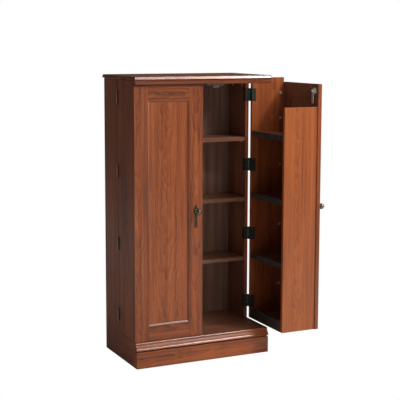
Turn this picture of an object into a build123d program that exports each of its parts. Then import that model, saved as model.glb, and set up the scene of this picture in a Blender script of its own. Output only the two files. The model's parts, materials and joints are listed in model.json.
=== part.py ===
"""A tall media cabinet: a shallow carcass that carries two deep, box-shaped doors.

Everything is in millimetres. +Z is up, +X is to the right of someone facing the
cabinet and +Y runs from its front to its back. The origin is on the floor under the
middle of the carcass. The left door is shut. The right door stands open, swung a
quarter turn about its hinge pins.
"""

from build123d import *
import os

os.makedirs("parts", exist_ok=True)

# ------------------------------------------------------------------ driving sizes
# overall
cabinet_width = 566.0  # across the outer faces of the sides
cabinet_depth = 336.0  # front edge of the top to the back
cabinet_height = 1105.0

# boards
side_board = 14.0  # carcass sides and the doors' side and end panels
shelf_board = 16.0  # carcass shelves
base_board = 15.0  # bottom panel and the doors' own shelves
back_board = 3.2  # nailed-on hardboard back
back_foot = 20.0  # open height under the back
back_edge_gap = 1.5
top_board = 13.0
top_side_overhang = 7.0
top_corner_radius = 6.0
top_edge_radius = 5.0
top_under_radius = 4.0

# rail under the front edge of the top, and the batten that carries the catches
front_rail_setback = 5.0
front_rail_height = 18.3
front_rail_radius = 5.0
swing_clearance = 1.2  # between the rail and a door's side panel swinging past it
batten_depth = 18.0
batten_height = 18.0
batten_setback = 3.0  # behind the doors' front frames
batten_end_gap = 19.0  # from the ends of the batten to the sides' inner faces

# base
plinth_setback = 2.0
plinth_board = 18.0
plinth_height = 63.5
moulding_quirk = 5.5  # recess under the bead
bead_radius = 4.5
moulding_step = 1.0  # plain fillet between bead and slope
slope_height = 14.0
slope_depth = 9.4
nose_radius = 2.75
bead_projection = 3.0  # in front of the plinth
support_board = 18.0

# doors
door_setback = 18.0  # door face behind the front edge of the top
door_depth = 163.0  # door face to the back edge of the door's side panel
door_joint_gap = 3.0  # between the doors where they meet
door_bottom_gap = 1.5
door_top_gap = 2.2  # under the front rail
door_side_top_gap = 2.0  # under the top
frame_board = 16.0
frame_flat = 56.0  # plain face of a stile or rail
frame_bevel = 8.0  # width of the sloping bead round the panel
frame_recess = 5.0  # panel face behind the frame face, front and back
panel_tongue = 7.0  # how far the panel stands in its groove
groove_depth = 8.0
end_panel_inset = 4.5  # behind the door's free edge
end_panel_drop = 88.0  # below the top of the door frame, to leave the lock room
end_panel_back_step = 1.0
lip_board = 4.0
shelf_lip_height = 23.0
bottom_lip_height = 45.0

# shelves
carcass_shelf_pitch = 247.0
carcass_shelf_setback = 2.0
carcass_shelf_end_gap = 1.0
door_shelf_pitch = 250.0
shelf_pin_radius = 2.5
shelf_pin_hole_depth = 9.0
shelf_pin_reach = 8.0
shelf_pin_plate = 1.5
shelf_pin_overlap = 0.5  # of a pin's shank into its plate
shelf_pin_inset = 28.0  # from a shelf's front and back edges
spare_hole_pitch = 32.0

# hinges
hinges_per_door = 4
hinge_length = 50.8
hinge_gap = 3.0  # between the door's back edge and the carcass
knuckle_clearance = 0.6  # between the knuckles and the sides' outer faces
pin_radius = 1.6
knuckle_radius = 3.0
knuckles = 5
knuckle_end_gap = 0.2
pin_running_clearance = 0.05
leaf_sheet = 1.2
leaf_wrap = 18.0  # along the board's inner face
leaf_relief = 0.3  # between a leaf and the other leaf's knuckles
hinge_bottom_inset = 71.0  # first hinge centre above the door's bottom edge
hinge_top_inset = 68.5  # last hinge centre below the door side's top edge
pin_tip_radius = 2.3
pin_tip_length = 1.4

# screws, nails and connectors
screw_radius = 1.6
screw_length = 11.0
screw_head_radius = 3.1
screw_head_height = 1.3
screw_spread = 32.0  # between the two screws of a leaf
cam_radius = 6.0
cam_depth = 9.0
cam_slot = 1.6
cam_inset = 15.0  # from the joint that it pulls together
cam_slot_margin = 1.5  # between the ends of a cam's slot and its rim
carcass_cam_inset = 34.0  # below the top, and from the sides' front and back edges
top_cam_drop = 43.0  # below the top of the door frame
nail_radius = 0.8
nail_length = 14.0
nail_head_radius = 2.2
nail_head_height = 0.8
nail_rows = 6
nail_end_inset = 60.0  # from the floor and from the top's underside
bottom_nail_shares = (-0.6, -0.2, 0.2, 0.6)  # of the carcass's inner half width

# knobs and back plates
knob_height = 589.0
knob_ball_radius = 11.5
knob_neck_radius = 4.5
knob_foot_radius = 7.5
knob_foot_height = 2.5
knob_foot_slope = 2.0
knob_projection = 33.0
knob_screw_radius = 2.0
knob_screw_bite = 9.0
knob_screw_head_radius = 4.2
knob_screw_head_height = 2.4
plate_sheet = 2.0
plate_rise = 25.0  # plate's top end above the knob
plate_fall = 65.0  # plate's bottom end below the knob
plate_half_width = 9.0
plate_waist_rise = 17.0  # half height of the plate's wide middle
plate_leaf_half_width = 7.0  # of the leaf near its lower end

# magnetic catches
catch_offset = 62.0  # from the cabinet's middle
catch_width = 29.0
catch_depth = 16.0
catch_height = 16.0
catch_ear = 21.0
catch_ear_height = 8.0
catch_ear_depth = 10.0
catch_slot_length = 11.0
strike_width = 28.0
strike_height = 13.0
strike_sheet = 1.2
strike_gap = 0.4  # left between a strike and its catch
strike_inset = 1.0  # below the top of the door frame

# lock
lock_drop = 26.5  # below the top of the door frame
lock_barrel_radius = 9.5
lock_flange_radius = 11.5
lock_flange = 2.0
lock_reach = 8.0  # barrel inside the door
lock_end_gap = 0.1  # between the barrel's end and the arm
lock_ring_radius = 12.5
lock_ring = 5.0
lock_plug_radius = 6.0
lock_plug_clearance = 0.05
lock_tang = 6.0  # square that turns the arm
lock_arm_sheet = 2.0
lock_arm_width = 12.0
lock_arm_reach = 50.0
lock_stud_radius = 2.5
lock_nut = 10.0
lock_nut_height = 4.5
lock_stud_tip = 1.0  # beyond the nut
key_slot_width = 1.6
key_slot_length = 7.0
key_slot_depth = 4.0

# ------------------------------------------------------------------ derived places
side_out = cabinet_width / 2
side_in = side_out - side_board
front = -cabinet_depth / 2
back = cabinet_depth / 2
top_under = cabinet_height - top_board
carcass_back = back - back_board

plinth_face = front + plinth_setback
plinth_back = plinth_face + plinth_board
base_top = (
    plinth_height
    + moulding_quirk
    + 2 * bead_radius
    + moulding_step
    + slope_height
    + 2 * nose_radius
)
base_under = base_top - base_board

door_face = front + door_setback
frame_back = door_face + frame_board
door_back = door_face + door_depth
carcass_front = door_back + hinge_gap
door_bottom = base_top + door_bottom_gap
rail_under = top_under - front_rail_height
frame_top = rail_under - door_top_gap
door_side_top = top_under - door_side_top_gap
free_edge = door_joint_gap / 2
end_out = free_edge + end_panel_inset
end_in = end_out + side_board
end_top = frame_top - end_panel_drop
end_back = door_back - end_panel_back_step

pin_x = side_out + knuckle_clearance + knuckle_radius
pin_y = door_back + hinge_gap / 2
swing_radius = ((pin_x - side_in) ** 2 + (pin_y - frame_back) ** 2) ** 0.5
front_rail_back = pin_y - swing_radius - swing_clearance

hinge_span = door_side_top - hinge_top_inset - door_bottom - hinge_bottom_inset
hinge_step = hinge_span / (hinges_per_door - 1)
hinge_heights = [door_bottom + hinge_bottom_inset + i * hinge_step for i in range(hinges_per_door)]

middle_shelf_top = (base_top + top_under + shelf_board) / 2
shelf_tops = [middle_shelf_top + i * carcass_shelf_pitch for i in (-1, 0, 1)]
door_shelf_unders = [middle_shelf_top + i * door_shelf_pitch for i in (-1, 0, 1)]
lip_front = door_back - lip_board

# the right door's open place: a quarter turn about its pins
open_right = Location((pin_x, pin_y, 0), (0, 0, 90)) * Location((-pin_x, -pin_y, 0))
shut = Location()


# ------------------------------------------------------------------ building helpers
def block(x, y, z, mode=Mode.ADD):
    """Adds a square block between pairs of coordinates, or cuts it away."""
    with BuildSketch(Plane.XY.offset(min(z))) as outline:
        with Locations((sum(x) / 2, sum(y) / 2)):
            Rectangle(abs(x[1] - x[0]), abs(y[1] - y[0]))
    extrude(outline.sketch, amount=abs(z[1] - z[0]), mode=mode)


def rod(start, along, radius, length, mode=Mode.ADD):
    """Adds a round rod from start in the direction along, or drills it away."""
    with BuildSketch(Plane(origin=start, z_dir=along)) as outline:
        Circle(radius)
    extrude(outline.sketch, amount=length, mode=mode)


def save(piece, name, place=shut):
    """Names a finished piece and writes it in its place."""
    finished = piece.part.moved(place)
    finished.label = name
    export_step(finished, f"parts/{name}.step")


def inward(hand):
    """The direction from one side of the cabinet to its middle."""
    return (-hand, 0, 0)


def knuckle_span(centre, index):
    """Bottom and top of one knuckle of the hinge at a height."""
    length = hinge_length / knuckles
    bottom = centre - hinge_length / 2 + index * length
    return bottom + knuckle_end_gap / 2, bottom + length - knuckle_end_gap / 2


def hinge_leaf(hand, centre, edge, away, own_knuckles, bore):
    """A leaf over a board's edge and round on to its inner face, with its knuckles.

    away is +1 where the board runs back from its edge and -1 where it runs forward.
    """
    bottom = centre - hinge_length / 2
    top = centre + hinge_length / 2
    outer_face = edge - away * leaf_sheet
    wrap_in = side_in - leaf_sheet
    reach = pin_x - knuckle_radius - leaf_relief
    block((hand * wrap_in, hand * reach), (outer_face, edge), (bottom, top))
    block((hand * wrap_in, hand * side_in), (outer_face, edge + away * leaf_wrap), (bottom, top))
    for index in own_knuckles:
        low, high = knuckle_span(centre, index)
        block((hand * reach, hand * pin_x), (outer_face, edge), (low, high))
        rod((hand * pin_x, pin_y, low), (0, 0, 1), knuckle_radius, high - low)
    rod((hand * pin_x, pin_y, bottom), (0, 0, 1), bore, top - bottom, Mode.SUBTRACT)
    for lift in (-screw_spread / 2, screw_spread / 2):
        mouth = (hand * wrap_in, edge + away * leaf_wrap / 2, centre + lift)
        rod(mouth, (hand, 0, 0), screw_radius, leaf_sheet, Mode.SUBTRACT)


def hinge_screw_holes(hand, edge, away):
    """The pilot holes for every leaf screwed to a side's inner face."""
    for centre in hinge_heights:
        for lift in (-screw_spread / 2, screw_spread / 2):
            mouth = (hand * side_in, edge + away * leaf_wrap / 2, centre + lift)
            rod(mouth, (hand, 0, 0), screw_radius, screw_length, Mode.SUBTRACT)


def hinge_screws(hand, edge, away):
    """Two screws for each leaf, with their heads on its inner face."""
    for centre in hinge_heights:
        for lift in (-screw_spread / 2, screw_spread / 2):
            seat = (hand * (side_in - leaf_sheet), edge + away * leaf_wrap / 2, centre + lift)
            rod(seat, (hand, 0, 0), screw_radius, leaf_sheet + screw_length)
            rod(seat, inward(hand), screw_head_radius, screw_head_height)


# ------------------------------------------------------------------ carcass: top
with BuildPart() as top_panel:
    half = side_out + top_side_overhang
    block((-half, half), (front, back), (top_under, cabinet_height))
    corners = top_panel.edges().filter_by(Axis.Z).group_by(Axis.Y)[0]
    fillet(corners, radius=top_corner_radius)
    rim = top_panel.faces().sort_by(Axis.Z)[-1].edges() - top_panel.edges().group_by(Axis.Y)[-1]
    fillet(rim, radius=top_edge_radius)
    under_rim = top_panel.faces().sort_by(Axis.Z)[0].edges() - top_panel.edges().group_by(Axis.Y)[-1]
    fillet(under_rim, radius=top_under_radius)
save(top_panel, "top_panel")

with BuildPart() as top_front_rail:
    block((-side_out, side_out), (front + front_rail_setback, front_rail_back), (rail_under, top_under))
    lower_front = top_front_rail.edges().filter_by(Axis.X).group_by(Axis.Z)[0].sort_by(Axis.Y)[0]
    fillet(lower_front, radius=front_rail_radius)
save(top_front_rail, "top_front_rail")

# ------------------------------------------------------------------ carcass: sides
pin_rows = (
    carcass_front + carcass_shelf_setback + shelf_pin_inset,
    carcass_back - carcass_shelf_setback - shelf_pin_inset,
)
# a shelf pin's plate lies under the shelf and its shank hangs below the plate
shelf_pin_drop = shelf_board + shelf_pin_plate + shelf_pin_radius - shelf_pin_overlap
shelf_pin_heights = [top - shelf_pin_drop for top in shelf_tops]
carcass_cam_rows = (carcass_front + carcass_cam_inset, carcass_back - carcass_cam_inset)
carcass_cam_height = top_under - carcass_cam_inset
nail_step = (top_under - 2 * nail_end_inset) / (nail_rows - 1)
nail_heights = [nail_end_inset + i * nail_step for i in range(nail_rows)]
nail_x = side_out - side_board / 2
bottom_nail_height = base_under + base_board / 2
bottom_nails = [side_in * share for share in bottom_nail_shares]

for hand, name in ((-1, "left"), (1, "right")):
    with BuildPart() as carcass_side:
        block((hand * side_in, hand * side_out), (carcass_front, carcass_back), (0, top_under))
        for height in shelf_pin_heights:
            for spare in (-1, 0, 1):
                for row in pin_rows:
                    mouth = (hand * side_in, row, height + spare * spare_hole_pitch)
                    rod(mouth, (hand, 0, 0), shelf_pin_radius, shelf_pin_hole_depth, Mode.SUBTRACT)
        for row in carcass_cam_rows:
            mouth = (hand * side_in, row, carcass_cam_height)
            rod(mouth, (hand, 0, 0), cam_radius, cam_depth, Mode.SUBTRACT)
        hinge_screw_holes(hand, carcass_front, 1)
        for height in nail_heights:
            rod((hand * nail_x, carcass_back, height), (0, -1, 0), nail_radius, nail_length, Mode.SUBTRACT)
    save(carcass_side, f"carcass_side_{name}")

# ------------------------------------------------------------------ carcass: base
for hand, name in ((-1, "left"), (1, "right")):
    with BuildPart() as base_return:
        block((hand * side_in, hand * side_out), (plinth_back, carcass_front), (0, base_top))
    save(base_return, f"base_return_{name}")

with BuildPart() as bottom_panel:
    block((-side_in, side_in), (plinth_back, carcass_back), (base_under, base_top))
    for hand in (-1, 1):
        for row in carcass_cam_rows:
            mouth = (hand * (side_in - cam_inset), row, base_under)
            rod(mouth, (0, 0, 1), cam_radius, cam_depth, Mode.SUBTRACT)
    for x in bottom_nails:
        rod((x, carcass_back, bottom_nail_height), (0, -1, 0), nail_radius, nail_length, Mode.SUBTRACT)
save(bottom_panel, "bottom_panel")

with BuildPart() as plinth_front:
    block((-side_out, side_out), (plinth_face, plinth_back), (0, plinth_height))
save(plinth_front, "plinth_front")

bead_middle = plinth_height + moulding_quirk + bead_radius
bead_root = plinth_face - bead_projection + bead_radius
slope_foot = bead_middle + bead_radius + moulding_step
nose_root = bead_root + slope_depth
nose_foot = slope_foot + slope_height
with BuildPart() as base_moulding:
    with BuildSketch(Plane.YZ.offset(-side_out)):
        with BuildLine():
            Polyline(
                (plinth_back, base_top),
                (plinth_back, plinth_height),
                (bead_root, plinth_height),
                (bead_root, bead_middle - bead_radius),
            )
            ThreePointArc(
                (bead_root, bead_middle - bead_radius),
                (bead_root - bead_radius, bead_middle),
                (bead_root, bead_middle + bead_radius),
            )
            Polyline(
                (bead_root, bead_middle + bead_radius),
                (bead_root, slope_foot),
                (nose_root, nose_foot),
            )
            ThreePointArc(
                (nose_root, nose_foot),
                (nose_root - nose_radius, nose_foot + nose_radius),
                (nose_root, base_top),
            )
            Line((nose_root, base_top), (plinth_back, base_top))
        make_face()
    extrude(amount=cabinet_width)
save(base_moulding, "base_moulding")

with BuildPart() as base_rear_rail:
    block((-side_in, side_in), (carcass_back - support_board, carcass_back), (0, base_under))
save(base_rear_rail, "base_rear_rail")

with BuildPart() as base_centre_support:
    half = support_board / 2
    block((-half, half), (plinth_back, carcass_back - support_board), (0, base_under))
save(base_centre_support, "base_centre_support")

# ------------------------------------------------------------------ carcass: back
nail_places = [(hand * nail_x, height) for hand in (-1, 1) for height in nail_heights]
nail_places += [(x, bottom_nail_height) for x in bottom_nails]
with BuildPart() as back_panel:
    half = side_out - back_edge_gap
    block((-half, half), (carcass_back, back), (back_foot, top_under))
    for x, height in nail_places:
        rod((x, carcass_back, height), (0, 1, 0), nail_radius, back_board, Mode.SUBTRACT)
        rod((x, back, height), (0, -1, 0), nail_head_radius, nail_head_height, Mode.SUBTRACT)
save(back_panel, "back_panel")

# ------------------------------------------------------------------ carcass: shelves
shelf_half = side_in - carcass_shelf_end_gap
shelf_span = (carcass_front + carcass_shelf_setback, carcass_back - carcass_shelf_setback)
for top, name in zip(shelf_tops, ("lower", "middle", "upper")):
    with BuildPart() as shelf:
        block((-shelf_half, shelf_half), shelf_span, (top - shelf_board, top))
    save(shelf, f"shelf_{name}")

with BuildPart() as shelf_pins:
    for top, height in zip(shelf_tops, shelf_pin_heights):
        for hand in (-1, 1):
            for row in pin_rows:
                end = (hand * (side_in + shelf_pin_hole_depth), row, height)
                rod(end, inward(hand), shelf_pin_radius, shelf_pin_hole_depth + shelf_pin_reach)
                plate_x = (hand * (side_in - shelf_pin_reach), hand * side_in)
                plate_y = (row - 2 * shelf_pin_radius, row + 2 * shelf_pin_radius)
                block(plate_x, plate_y, (top - shelf_board - shelf_pin_plate, top - shelf_board))
save(shelf_pins, "shelf_pins")


# ------------------------------------------------------------------ hinges
carcass_knuckles = range(0, knuckles, 2)
door_knuckles = range(1, knuckles, 2)

for hand, name in ((-1, "left"), (1, "right")):
    with BuildPart() as carcass_leaves:
        for centre in hinge_heights:
            hinge_leaf(hand, centre, carcass_front, 1, carcass_knuckles, pin_radius)
    save(carcass_leaves, f"carcass_leaves_{name}")

with BuildPart() as hinge_pins:
    for hand in (-1, 1):
        for centre in hinge_heights:
            bottom = centre - hinge_length / 2
            top = centre + hinge_length / 2
            rod((hand * pin_x, pin_y, bottom), (0, 0, 1), pin_radius, top - bottom)
            rod((hand * pin_x, pin_y, top), (0, 0, 1), pin_tip_radius, pin_tip_length)
            rod((hand * pin_x, pin_y, bottom), (0, 0, -1), pin_tip_radius, pin_tip_length)
save(hinge_pins, "hinge_pins")


# ------------------------------------------------------------------ connectors, catches
def cam_disc(mouth, along, slot_along):
    """A cam connector let into a board: a disc with a screwdriver slot across it."""
    rod(mouth, along, cam_radius, cam_depth)
    with BuildSketch(Plane(origin=mouth, x_dir=slot_along, z_dir=along)) as slot:
        Rectangle(2 * (cam_radius - cam_slot_margin), cam_slot)
    extrude(slot.sketch, amount=cam_slot, mode=Mode.SUBTRACT)


with BuildPart() as carcass_cams:
    for hand in (-1, 1):
        for row in carcass_cam_rows:
            cam_disc((hand * side_in, row, carcass_cam_height), (hand, 0, 0), (0, 1, 0))
            cam_disc((hand * (side_in - cam_inset), row, base_under), (0, 0, 1), (1, 0, 0))
save(carcass_cams, "carcass_cams")

catch_y = frame_back + strike_sheet + strike_gap + catch_depth / 2
catch_screw_offset = (catch_width + catch_ear) / 2
batten_under = top_under - batten_height
ear_under = batten_under - catch_ear_height
catch_screws = [
    (hand * catch_offset + side * catch_screw_offset, catch_y) for hand in (-1, 1) for side in (-1, 1)
]

with BuildPart() as catch_batten:
    half = side_in - batten_end_gap
    span = (frame_back + batten_setback, frame_back + batten_setback + batten_depth)
    block((-half, half), span, (batten_under, top_under))
    for x, y in catch_screws:
        rod((x, y, batten_under), (0, 0, 1), screw_radius, screw_length, Mode.SUBTRACT)
save(catch_batten, "catch_batten")

for hand, name in ((-1, "left"), (1, "right")):
    middle = hand * catch_offset
    half = catch_width / 2
    with BuildPart() as catch:
        body_y = (catch_y - catch_depth / 2, catch_y + catch_depth / 2)
        ear_y = (catch_y - catch_ear_depth / 2, catch_y + catch_ear_depth / 2)
        block((middle - half, middle + half), body_y, (batten_under - catch_height, batten_under))
        block((middle - half - catch_ear, middle + half + catch_ear), ear_y, (ear_under, batten_under))
        with BuildSketch(Plane.XY.offset(ear_under)):
            with Locations(*[(middle + side * catch_screw_offset, catch_y) for side in (-1, 1)]):
                SlotOverall(catch_slot_length, 2 * screw_radius)
        extrude(amount=catch_ear_height, mode=Mode.SUBTRACT)
    save(catch, f"magnetic_catch_{name}")

with BuildPart() as carcass_screws:
    for hand in (-1, 1):
        hinge_screws(hand, carcass_front, 1)
    for x, y in catch_screws:
        rod((x, y, ear_under), (0, 0, 1), screw_radius, catch_ear_height + screw_length)
        rod((x, y, ear_under), (0, 0, -1), screw_head_radius, screw_head_height)
    for x, height in nail_places:
        rod((x, back, height), (0, -1, 0), nail_radius, back_board + nail_length)
        rod((x, back, height), (0, -1, 0), nail_head_radius, nail_head_height)
save(carcass_screws, "carcass_screws")


# ------------------------------------------------------------------ doors: frame and panel
def member_section(outer, towards):
    """A stile's or rail's section as (across, deep) pairs, from its outer edge to the panel."""
    width = frame_flat + frame_bevel
    groove_root = width - groove_depth
    groove_back = frame_board - frame_recess
    section = [
        (0, 0),
        (frame_flat, 0),
        (width, frame_recess),
        (groove_root, frame_recess),
        (groove_root, groove_back),
        (width, groove_back),
        (width, frame_board),
        (0, frame_board),
    ]
    return [(outer + towards * across, door_face + deep) for across, deep in section]


def stile(outer, towards):
    """An upright of a door's frame, its full height."""
    with BuildSketch(Plane.XY.offset(door_bottom)) as section:
        with BuildLine():
            Polyline(*member_section(outer, towards), close=True)
        make_face()
    extrude(section.sketch, amount=frame_top - door_bottom)


def rail(hand, outer, towards):
    """A cross member of a door's frame, from flat to flat of its stiles before it is coped."""
    ends = sorted((hand * (free_edge + frame_flat), hand * (side_out - frame_flat)))
    with BuildSketch(Plane.YZ.offset(ends[0])) as section:
        with BuildLine():
            Polyline(*[(deep, across) for across, deep in member_section(outer, towards)], close=True)
        make_face()
    extrude(section.sketch, amount=ends[1] - ends[0])


knob_x = free_edge + frame_flat / 2
lock_height = frame_top - lock_drop
strike_middle = frame_top - strike_inset - strike_height / 2
strike_screw_length = 9.0
panel_edge = frame_flat + frame_bevel - panel_tongue
cam_y = frame_back + cam_inset
bay_tops = door_shelf_unders + [end_top]
bay_bottoms = [door_bottom + base_board] + [under + base_board for under in door_shelf_unders]
cam_heights = [(low + high) / 2 for low, high in zip(bay_bottoms, bay_tops)]
top_cam_height = frame_top - top_cam_drop

for hand, side, place in ((-1, "left", shut), (1, "right", open_right)):
    door = f"door_{side}"
    knob_at = hand * knob_x
    strike_x = hand * catch_offset
    strike_mouth = (strike_x, frame_back, strike_middle)

    with BuildPart() as hinge_stile:
        stile(hand * side_out, -hand)
    save(hinge_stile, f"{door}_hinge_stile", place)

    with BuildPart() as free_stile:
        stile(hand * free_edge, hand)
        rod((knob_at, door_face, knob_height), (0, 1, 0), knob_screw_radius, frame_board, Mode.SUBTRACT)
        rod(strike_mouth, (0, -1, 0), screw_radius, strike_screw_length, Mode.SUBTRACT)
        if side == "right":
            lock_mouth = (knob_at, door_face, lock_height)
            rod(lock_mouth, (0, 1, 0), lock_barrel_radius, frame_board, Mode.SUBTRACT)
    save(free_stile, f"{door}_free_stile", place)

    with BuildPart() as top_rail:
        rail(hand, frame_top, -1)
        add([hinge_stile.part, free_stile.part], mode=Mode.SUBTRACT)
        rod(strike_mouth, (0, -1, 0), screw_radius, strike_screw_length, Mode.SUBTRACT)
    save(top_rail, f"{door}_top_rail", place)

    with BuildPart() as bottom_rail:
        rail(hand, door_bottom, 1)
        add([hinge_stile.part, free_stile.part], mode=Mode.SUBTRACT)
    save(bottom_rail, f"{door}_bottom_rail", place)

    with BuildPart() as panel:
        panel_x = (hand * (free_edge + panel_edge), hand * (side_out - panel_edge))
        panel_y = (door_face + frame_recess, frame_back - frame_recess)
        block(panel_x, panel_y, (door_bottom + panel_edge, frame_top - panel_edge))
    save(panel, f"{door}_panel", place)

    # the box behind the frame
    with BuildPart() as side_panel:
        block((hand * side_in, hand * side_out), (frame_back, door_back), (door_bottom, door_side_top))
        hinge_screw_holes(hand, door_back, -1)
        for height in cam_heights + [top_cam_height]:
            rod((hand * side_in, cam_y, height), (hand, 0, 0), cam_radius, cam_depth, Mode.SUBTRACT)
    save(side_panel, f"{door}_side_panel", place)

    with BuildPart() as end_panel:
        block((hand * end_out, hand * end_in), (frame_back, end_back), (door_bottom, end_top))
        for height in cam_heights:
            rod((hand * end_in, cam_y, height), inward(hand), cam_radius, cam_depth, Mode.SUBTRACT)
    save(end_panel, f"{door}_end_panel", place)

    inside = (hand * end_in, hand * side_in)
    with BuildPart() as bottom_board:
        block(inside, (frame_back, lip_front), (door_bottom, door_bottom + base_board))
    save(bottom_board, f"{door}_bottom", place)

    with BuildPart() as shelves:
        for under in door_shelf_unders:
            block(inside, (frame_back, lip_front), (under, under + base_board))
    save(shelves, f"{door}_shelves", place)

    with BuildPart() as lips:
        block(inside, (lip_front, door_back), (door_bottom, door_bottom + bottom_lip_height))
        for under in door_shelf_unders:
            block(inside, (lip_front, door_back), (under, under + shelf_lip_height))
    save(lips, f"{door}_lips", place)

    with BuildPart() as cams:
        for height in cam_heights + [top_cam_height]:
            cam_disc((hand * side_in, cam_y, height), (hand, 0, 0), (0, 1, 0))
        for height in cam_heights:
            cam_disc((hand * end_in, cam_y, height), inward(hand), (0, 1, 0))
    save(cams, f"{door}_cams", place)

    with BuildPart() as leaves:
        for centre in hinge_heights:
            hinge_leaf(hand, centre, door_back, -1, door_knuckles, pin_radius + pin_running_clearance)
    save(leaves, f"{door}_leaves", place)

    # knob, back plate and strike
    with BuildPart() as back_plate:
        with BuildSketch(Plane(origin=(knob_at, door_face, knob_height), x_dir=(1, 0, 0), z_dir=(0, -1, 0))):
            with Locations((0, (plate_rise - plate_fall) / 2)):
                SlotOverall(plate_rise + plate_fall, plate_half_width, rotation=90)
            Ellipse(plate_half_width, plate_waist_rise)
            with Locations((0, plate_rise / 2 - plate_fall)):
                Ellipse(plate_leaf_half_width, plate_half_width)
            Circle(knob_screw_radius, mode=Mode.SUBTRACT)
        extrude(amount=plate_sheet)
    save(back_plate, f"{door}_back_plate", place)

    knob_foot = (knob_at, door_face - plate_sheet, knob_height)
    ball_height = knob_projection - knob_ball_radius
    neck_height = ball_height - (knob_ball_radius**2 - knob_neck_radius**2) ** 0.5
    with BuildPart() as knob:
        with BuildSketch(Plane(origin=knob_foot, x_dir=(1, 0, 0), z_dir=(0, 0, -1))):
            with BuildLine():
                Polyline(
                    (0, knob_projection),
                    (0, 0),
                    (knob_foot_radius, 0),
                    (knob_foot_radius, knob_foot_height),
                    (knob_neck_radius, knob_foot_height + knob_foot_slope),
                    (knob_neck_radius, neck_height),
                )
                ThreePointArc(
                    (knob_neck_radius, neck_height),
                    (knob_ball_radius, ball_height),
                    (0, knob_projection),
                )
            make_face()
        revolve(axis=Axis(knob_foot, (0, -1, 0)))
        rod(knob_foot, (0, -1, 0), knob_screw_radius, knob_screw_bite, Mode.SUBTRACT)
    save(knob, f"{door}_knob", place)

    with BuildPart() as strike:
        half = strike_width / 2
        strike_z = (strike_middle - strike_height / 2, strike_middle + strike_height / 2)
        block((strike_x - half, strike_x + half), (frame_back, frame_back + strike_sheet), strike_z)
        strike_face = (strike_x, frame_back + strike_sheet, strike_middle)
        rod(strike_face, (0, -1, 0), screw_head_radius, strike_sheet, Mode.SUBTRACT)
    save(strike, f"{door}_strike", place)

    with BuildPart() as screws:
        hinge_screws(hand, door_back, -1)
        rod(strike_face, (0, -1, 0), screw_head_radius, strike_sheet)
        rod(strike_face, (0, -1, 0), screw_radius, strike_sheet + strike_screw_length)
        knob_screw_seat = (knob_at, frame_back, knob_height)
        knob_screw_length = frame_board + plate_sheet + knob_screw_bite
        rod(knob_screw_seat, (0, -1, 0), knob_screw_radius, knob_screw_length)
        rod(knob_screw_seat, (0, 1, 0), knob_screw_head_radius, knob_screw_head_height)
    save(screws, f"{door}_screws", place)

# ------------------------------------------------------------------ lock, in the right door
lock_front = (knob_x, door_face - lock_flange, lock_height)
barrel_end = frame_back + lock_reach
with BuildPart() as lock_housing:
    rod(lock_front, (0, 1, 0), lock_flange_radius, lock_flange)
    rod(lock_front, (0, 1, 0), lock_barrel_radius, barrel_end - lock_front[1])
    plug_hole = lock_plug_radius + lock_plug_clearance
    rod(lock_front, (0, 1, 0), plug_hole, barrel_end - lock_front[1], Mode.SUBTRACT)
save(lock_housing, "lock_housing", open_right)

with BuildPart() as lock_ring_nut:
    ring_seat = (knob_x, frame_back, lock_height)
    rod(ring_seat, (0, 1, 0), lock_ring_radius, lock_ring)
    rod(ring_seat, (0, 1, 0), lock_barrel_radius, lock_ring, Mode.SUBTRACT)
save(lock_ring_nut, "lock_ring", open_right)

arm_y = barrel_end + lock_end_gap
arm_seat = Plane(origin=(knob_x, arm_y, lock_height), x_dir=(1, 0, 0), z_dir=(0, 1, 0))
arm_face = arm_y + lock_arm_sheet
with BuildPart() as lock_plug:
    rod(lock_front, (0, 1, 0), lock_plug_radius, arm_y - lock_front[1])
    with BuildSketch(arm_seat):
        Rectangle(lock_tang, lock_tang)
    extrude(amount=lock_arm_sheet)
    rod((knob_x, arm_face, lock_height), (0, 1, 0), lock_stud_radius, lock_nut_height + lock_stud_tip)
    with BuildSketch(Plane(origin=lock_front, x_dir=(0, 0, 1), z_dir=(0, 1, 0))):
        Rectangle(key_slot_length, key_slot_width)
    extrude(amount=key_slot_depth, mode=Mode.SUBTRACT)
save(lock_plug, "lock_plug", open_right)

arm_length = lock_arm_reach + lock_arm_width / 2
with BuildPart() as lock_arm:
    with BuildSketch(arm_seat):
        with Locations((0, (lock_arm_reach - lock_arm_width / 2) / 2)):
            SlotOverall(arm_length, lock_arm_width, rotation=90)
        Rectangle(lock_tang, lock_tang, mode=Mode.SUBTRACT)
    extrude(amount=lock_arm_sheet)
    with BuildSketch(Plane(origin=(knob_x, arm_face, lock_height), z_dir=(0, 1, 0))):
        RegularPolygon(lock_nut / 2, 6, major_radius=False)
        Circle(lock_stud_radius, mode=Mode.SUBTRACT)
    extrude(amount=lock_nut_height)
save(lock_arm, "lock_arm", open_right)
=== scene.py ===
# %% [markdown]
# # A media cabinet with two deep doors
#
# The real thing is flat-pack furniture: boards of particle board with a printed cherry
# finish, a shaped top and base moulding, and two doors that are boxes in themselves. They
# hang on four butt hinges each and carry shelves on their backs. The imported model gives
# every part its size and place. This lesson adds what it has not: eased edges, grain, worn
# metal, and the small hardware.
#
# All lengths are in metres. +Z is up, +X is to the right of someone facing the cabinet and
# +Y runs from its front to its back.

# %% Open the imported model
import json
import math

import bmesh
import bpy
from mathutils import Matrix, Vector

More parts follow.
